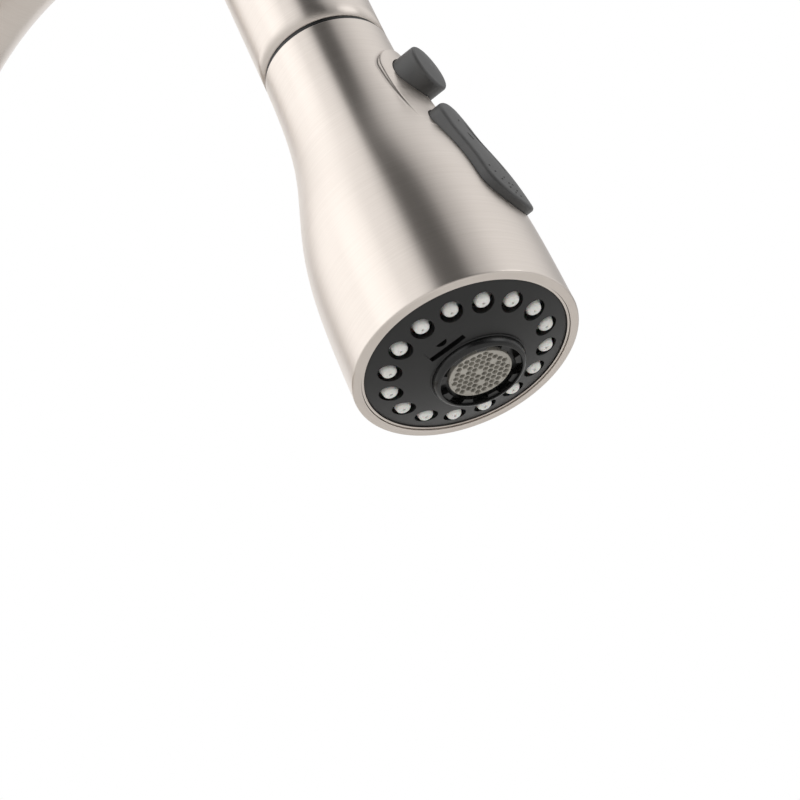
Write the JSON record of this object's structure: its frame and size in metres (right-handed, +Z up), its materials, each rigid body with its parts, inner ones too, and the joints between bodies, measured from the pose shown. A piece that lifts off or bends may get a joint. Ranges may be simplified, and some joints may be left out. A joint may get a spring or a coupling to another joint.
{
  "type": "pull-down kitchen faucet",
  "caption": "Single-lever kitchen faucet with a high-arc swivel spout and a pull-down spray head that has a saddle-shaped rocker and a round pause button.",
  "frame": {"origin": "middle of the deck hole, on the deck's top face", "axes": "+Z up, +X from the riser towards the spray head, +Y towards the lever"},
  "size_m": [0.2635, 0.1051, 0.4885],
  "materials": {
    "nickel": "brushed nickel plating",
    "black_plastic": "matte moulded plastic",
    "white_silicone": "soft silicone",
    "grey_plastic": "moulded plastic",
    "natural_plastic": "moulded plastic",
    "brass": "turned",
    "steel": "bright steel",
    "rubber": "moulded rubber",
    "ceramic": "lapped ceramic",
    "hose_braid": "braided nylon over a rubber hose",
    "magnet": "plastic-bonded magnet"
  },
  "bodies": {
    "faucet_body": {"body_casting": "nickel", "base_flange": "nickel", "base_gasket": "rubber", "shank": "brass", "rubber_washer": "rubber", "steel_washer": "steel", "mounting_nut": "brass", "clamp_screws": "steel", "swivel_bush": "natural_plastic", "spout_seal": "rubber", "cartridge_base": "natural_plastic", "cartridge_seals": "rubber", "fixed_disc": "ceramic", "cartridge_shell": "natural_plastic", "cartridge_nut": "brass", "bonnet": "nickel"},
    "spout": {"spout_tube": "nickel", "spout_collar": "nickel", "spout_foot": "brass", "dock_sleeve": "natural_plastic", "dock_magnet": "magnet", "spray_hose": "hose_braid", "hose_tail": "brass"},
    "hose_end": {"hose_nipple": "brass", "hose_ferrule": "steel", "hose_draw": "hose_braid"},
    "spray_head": {"head_shell": "nickel", "rim_ring": "nickel", "face_plate": "black_plastic", "nozzle_pad": "white_silicone", "spray_plate": "natural_plastic", "aerator_collar": "black_plastic", "aerator_screen": "grey_plastic", "aerator_cartridge": "black_plastic", "aerator_washer": "rubber", "valve_body": "natural_plastic", "dock_collar": "black_plastic", "keeper_ring": "black_plastic", "hose_nut": "brass", "rocker_pin": "steel", "check_seat": "natural_plastic", "check_guide": "natural_plastic", "check_spring": "steel", "button_spring": "steel"},
    "rocker": {"rocker": "black_plastic"},
    "diverter_spool": {"diverter_spool": "natural_plastic", "spool_seals": "rubber"},
    "pause_button": {"pause_button": "black_plastic", "pause_stem": "natural_plastic", "pause_seal": "rubber"},
    "check_poppet": {"check_poppet": "natural_plastic"},
    "valve_rotor": {"rotor": "natural_plastic", "stem_pin": "steel"},
    "moving_disc": {"moving_disc": "ceramic"},
    "handle": {"handle_hub": "nickel", "lever": "nickel", "valve_stem": "brass", "handle_screw": "steel", "index_cap": "nickel"}
  },
  "joints": [
    {"name": "spout_swivel", "type": "hinge", "parent": "faucet_body", "child": "spout", "pos_m": [0, 0, 0.1], "axis": [0, 0, 1], "continuous": true},
    {"name": "head_pull", "type": "slide", "parent": "spout", "child": "hose_end", "axis": [0.4431, 0, -0.8965], "range_m": [0, 0.42], "deforming": ["hose_draw"]},
    {"name": "head_turn", "type": "hinge", "parent": "hose_end", "child": "spray_head", "pos_m": [0.16538, 0, 0.28924], "axis": [-0.4431, 0, 0.8965], "continuous": true},
    {"name": "rocker_tilt", "type": "hinge", "parent": "spray_head", "child": "rocker", "pos_m": [0.20629, 0.00256, 0.25034], "axis": [0.117, -0.9914, 0.0578], "range_deg": [0, 8]},
    {"name": "diverter_slide", "type": "slide", "parent": "spray_head", "child": "diverter_spool", "axis": [0.4431, 0, -0.8965], "range_m": [0, 0.0012]},
    {"name": "pause_press", "type": "slide", "parent": "spray_head", "child": "pause_button", "axis": [-0.8888, -0.1305, -0.4393], "range_m": [0, 0.003], "stiffness_N_per_m": 600, "springref_m": -0.003, "deforming": ["button_spring"]},
    {"name": "check_valve", "type": "slide", "parent": "spray_head", "child": "check_poppet", "axis": [0.4431, 0, -0.8965], "range_m": [0, 0.0025], "stiffness_N_per_m": 80, "springref_m": -0.003, "deforming": ["check_spring"]},
    {"name": "handle_temperature", "type": "hinge", "parent": "faucet_body", "child": "valve_rotor", "pos_m": [0, 0.046, 0.052], "axis": [0, 1, 0], "range_deg": [-45, 45]},
    {"name": "handle_flow", "type": "hinge", "parent": "valve_rotor", "child": "handle", "pos_m": [0, 0.046, 0.052], "axis": [-1, 0, 0], "range_deg": [0, 20]},
    {"name": "disc_slide", "type": "slide", "parent": "valve_rotor", "child": "moving_disc", "axis": [0, 0, 1], "range_m": [0, 0.0042]}
  ],
  "couplings": [
    {"joint": "disc_slide", "follows": "handle_flow", "m_per_rad": 0.011758},
    {"joint": "diverter_slide", "follows": "rocker_tilt", "m_per_rad": 0.008423}
  ]
}
